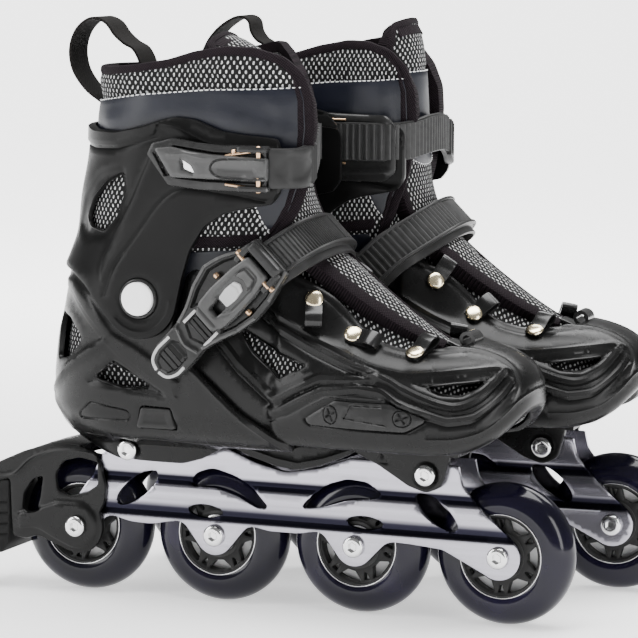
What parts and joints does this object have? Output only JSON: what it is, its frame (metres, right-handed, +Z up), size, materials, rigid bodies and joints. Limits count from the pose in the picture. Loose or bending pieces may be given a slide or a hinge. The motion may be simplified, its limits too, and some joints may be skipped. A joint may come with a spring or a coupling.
{
  "type": "pair of inline skates",
  "caption": "Adult recreational inline skates: hinged-cuff shell boots with soft liners, ratchet and lever buckles, alloy frames, wheels in line and a heel brake.",
  "frame": {"origin": "on the floor, at the centre of the pair's bounding box", "axes": "+X towards the toes along the right skate's frame, +Z up, the right skate at -Y"},
  "size_m": [0.368, 0.2236, 0.317],
  "materials": {
    "urethane": "smoky dark polyurethane, glossy",
    "bearing_steel": "ground steel",
    "bolt_steel": "polished steel",
    "frame_alloy": "polished, with a violet-grey cast",
    "shell_plastic": "satin black moulding with a fine grain",
    "brake_rubber": "matt rubber",
    "button_plastic": "dark grey moulding",
    "cap_plastic": "plain white cap",
    "trim_plastic": "semi-gloss dark grey",
    "strap_plastic": "ribbed satin strap",
    "liner_fabric": "padded leatherette and black-silver mesh",
    "webbing": "black webbing"
  },
  "bodies": {
    "right_boot": {"right_heel_shell": "shell_plastic", "right_frame": "frame_alloy", "right_axle_1": "bolt_steel", "right_axle_2": "bolt_steel", "right_axle_3": "bolt_steel", "right_axle_4": "bolt_steel", "right_front_bolt": "bolt_steel", "right_rear_bolt": "bolt_steel", "right_brake_arm": "shell_plastic", "right_brake_pad": "brake_rubber", "right_outer_pivot": "cap_plastic", "right_inner_pivot": "trim_plastic", "right_liner": "liner_fabric", "right_tongue": "liner_fabric", "right_instep_strap": "strap_plastic", "right_instep_buckle_base": "trim_plastic"},
    "right_toe": {"right_toe_shell": "shell_plastic"},
    "right_button": {"right_push_button": "button_plastic"},
    "right_ankle": {"right_cuff": "shell_plastic", "right_cuff_strap": "strap_plastic", "right_heel_loop": "webbing"},
    "right_cuff_lever": {"right_cuff_buckle_lever": "trim_plastic"},
    "right_instep_lever": {"right_instep_buckle_lever": "trim_plastic"},
    "right_roller_1": {"right_wheel_1": "urethane", "right_bearings_1": "bearing_steel"},
    "right_roller_2": {"right_wheel_2": "urethane", "right_bearings_2": "bearing_steel"},
    "right_roller_3": {"right_wheel_3": "urethane", "right_bearings_3": "bearing_steel"},
    "right_roller_4": {"right_wheel_4": "urethane", "right_bearings_4": "bearing_steel"},
    "left_boot": {"left_heel_shell": "shell_plastic", "left_frame": "frame_alloy", "left_axle_1": "bolt_steel", "left_axle_2": "bolt_steel", "left_axle_3": "bolt_steel", "left_axle_4": "bolt_steel", "left_front_bolt": "bolt_steel", "left_rear_bolt": "bolt_steel", "left_outer_pivot": "cap_plastic", "left_inner_pivot": "trim_plastic", "left_liner": "liner_fabric", "left_tongue": "liner_fabric", "left_instep_strap": "strap_plastic", "left_instep_buckle_base": "trim_plastic"},
    "left_toe": {"left_toe_shell": "shell_plastic"},
    "left_button": {"left_push_button": "button_plastic"},
    "left_ankle": {"left_cuff": "shell_plastic", "left_cuff_strap": "strap_plastic", "left_heel_loop": "webbing"},
    "left_cuff_lever": {"left_cuff_buckle_lever": "trim_plastic"},
    "left_instep_lever": {"left_instep_buckle_lever": "trim_plastic"},
    "left_roller_1": {"left_wheel_1": "urethane", "left_bearings_1": "bearing_steel"},
    "left_roller_2": {"left_wheel_2": "urethane", "left_bearings_2": "bearing_steel"},
    "left_roller_3": {"left_wheel_3": "urethane", "left_bearings_3": "bearing_steel"},
    "left_roller_4": {"left_wheel_4": "urethane", "left_bearings_4": "bearing_steel"}
  },
  "joints": [
    {"name": "right_wheel_1_spin", "type": "hinge", "parent": "right_boot", "child": "right_roller_1", "pos_m": [-0.12297, -0.05439, 0.038], "axis": [0, 1, 0], "continuous": true},
    {"name": "right_wheel_2_spin", "type": "hinge", "parent": "right_boot", "child": "right_roller_2", "pos_m": [-0.04197, -0.05439, 0.038], "axis": [0, 1, 0], "continuous": true},
    {"name": "right_wheel_3_spin", "type": "hinge", "parent": "right_boot", "child": "right_roller_3", "pos_m": [0.03903, -0.05439, 0.038], "axis": [0, 1, 0], "continuous": true},
    {"name": "right_wheel_4_spin", "type": "hinge", "parent": "right_boot", "child": "right_roller_4", "pos_m": [0.12003, -0.05439, 0.038], "axis": [0, 1, 0], "continuous": true},
    {"name": "right_cuff_flex", "type": "hinge", "parent": "right_boot", "child": "right_ankle", "pos_m": [-0.07197, -0.05439, 0.169], "axis": [0, 1, 0], "range_deg": [0, 6.5], "deforming": ["right_liner", "right_tongue"]},
    {"name": "right_cuff_lever_open", "type": "hinge", "parent": "right_ankle", "child": "right_cuff_lever", "pos_m": [0.00353, -0.10969, 0.241], "axis": [0, 0, 1], "range_deg": [0, 100]},
    {"name": "right_instep_lever_open", "type": "hinge", "parent": "right_boot", "child": "right_instep_lever", "pos_m": [0.00153, -0.10929, 0.1845], "axis": [-0.7071, 0, 0.7071], "range_deg": [0, 75]},
    {"name": "right_size_slide", "type": "slide", "parent": "right_boot", "child": "right_toe", "axis": [1, 0, 0], "range_m": [0, 0.024]},
    {"name": "right_button_press", "type": "slide", "parent": "right_boot", "child": "right_button", "axis": [0, 1, 0], "range_m": [0, 0.0025], "stiffness_N_per_m": 400, "springref_m": -0.001},
    {"name": "left_wheel_1_spin", "type": "hinge", "parent": "left_boot", "child": "left_roller_1", "pos_m": [-0.09656, 0.04712, 0.038], "axis": [-0.0576, 0.9983, 0], "continuous": true},
    {"name": "left_wheel_2_spin", "type": "hinge", "parent": "left_boot", "child": "left_roller_2", "pos_m": [-0.0157, 0.05178, 0.038], "axis": [-0.0576, 0.9983, 0], "continuous": true},
    {"name": "left_wheel_3_spin", "type": "hinge", "parent": "left_boot", "child": "left_roller_3", "pos_m": [0.06517, 0.05645, 0.038], "axis": [-0.0576, 0.9983, 0], "continuous": true},
    {"name": "left_wheel_4_spin", "type": "hinge", "parent": "left_boot", "child": "left_roller_4", "pos_m": [0.14603, 0.06111, 0.038], "axis": [-0.0576, 0.9983, 0], "continuous": true},
    {"name": "left_cuff_flex", "type": "hinge", "parent": "left_boot", "child": "left_ankle", "pos_m": [-0.04565, 0.05006, 0.169], "axis": [-0.0576, 0.9983, 0], "range_deg": [0, 6.5], "deforming": ["left_liner", "left_tongue"]},
    {"name": "left_cuff_lever_open", "type": "hinge", "parent": "left_ankle", "child": "left_cuff_lever", "pos_m": [0.02654, 0.10961, 0.241], "axis": [0, 0, -1], "range_deg": [0, 100]},
    {"name": "left_instep_lever_open", "type": "hinge", "parent": "left_boot", "child": "left_instep_lever", "pos_m": [0.02457, 0.10909, 0.1845], "axis": [0.7059, 0.0407, -0.7071], "range_deg": [0, 75]},
    {"name": "left_size_slide", "type": "slide", "parent": "left_boot", "child": "left_toe", "axis": [0.9983, 0.0576, 0], "range_m": [0, 0.024]},
    {"name": "left_button_press", "type": "slide", "parent": "left_boot", "child": "left_button", "axis": [0.0576, -0.9983, 0], "range_m": [0, 0.0025], "stiffness_N_per_m": 400, "springref_m": -0.001},
    {"name": "left_skate_apart", "type": "slide", "parent": "right_boot", "child": "left_boot", "axis": [0, 1, 0], "range_m": [0, 0.15]}
  ]
}
